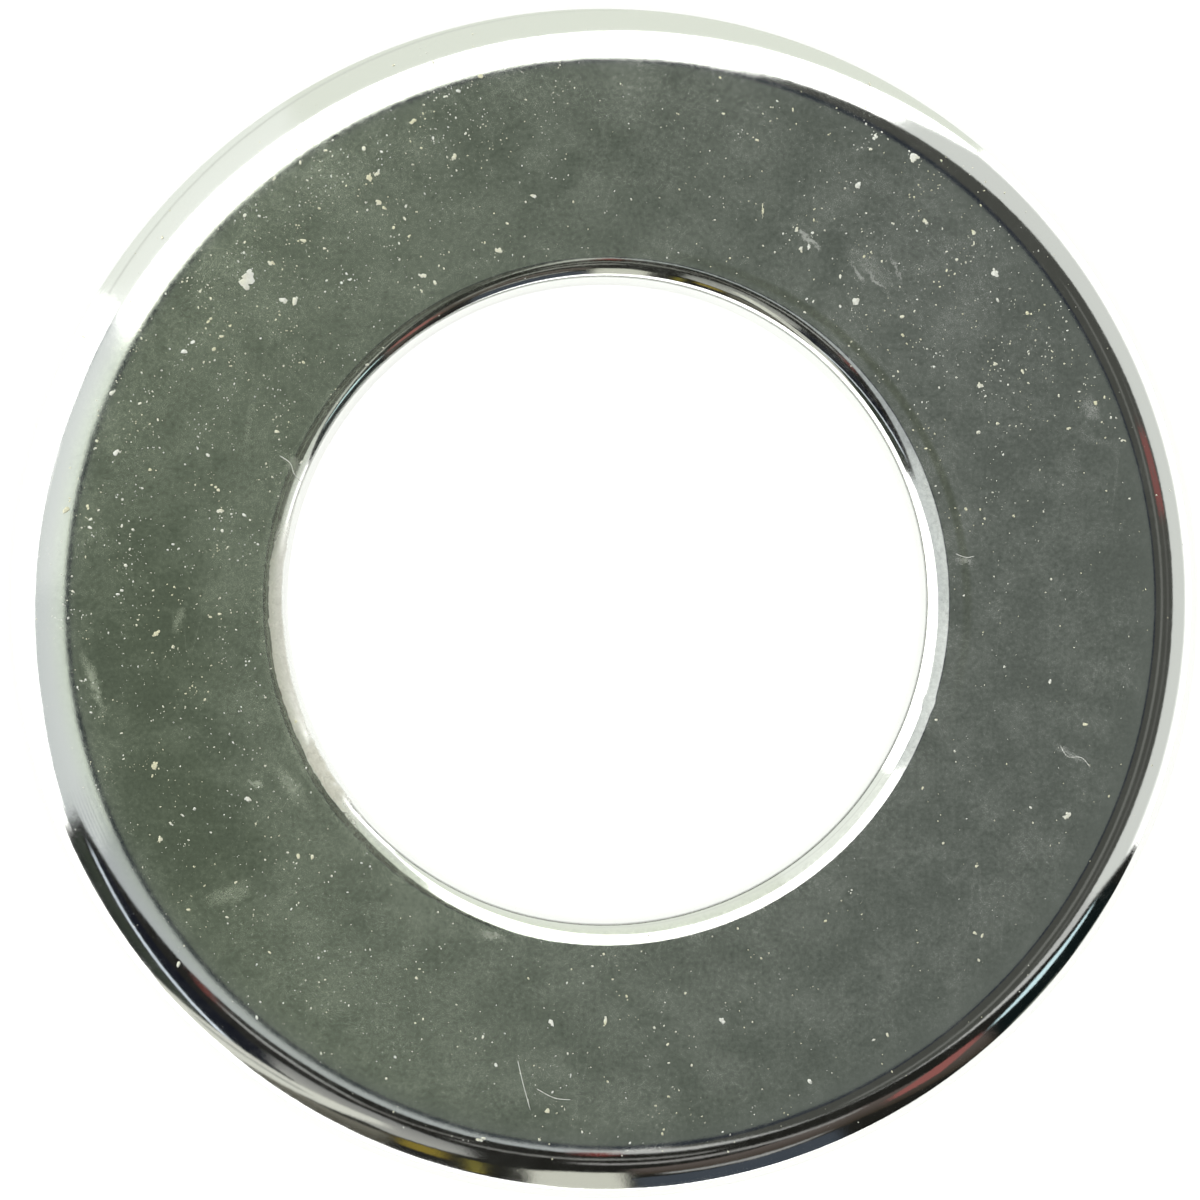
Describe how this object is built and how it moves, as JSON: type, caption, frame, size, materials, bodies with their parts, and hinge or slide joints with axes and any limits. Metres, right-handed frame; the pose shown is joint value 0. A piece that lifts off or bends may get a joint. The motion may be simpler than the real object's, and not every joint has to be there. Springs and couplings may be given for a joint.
{
  "type": "flat washer",
  "caption": "Bright plated flat washer with a rolled outer edge: spreads the load of a bolt head or nut and keeps it off the surface below.",
  "frame": {"origin": "on the bore's axis, on the flat lower face that rests on the work", "axes": "+Z along the bore's axis, towards the face with the broad rolled edge"},
  "size_m": [0.02, 0.02, 0.002],
  "materials": {
    "bare_steel": "bare low-carbon steel, sealed under the plating",
    "chrome": "mirror bright nickel-chromium plate, dusty, with fine handling marks"
  },
  "bodies": {
    "root": {"steel_blank": "bare_steel", "chrome_plating": "chrome"}
  },
  "joints": []
}
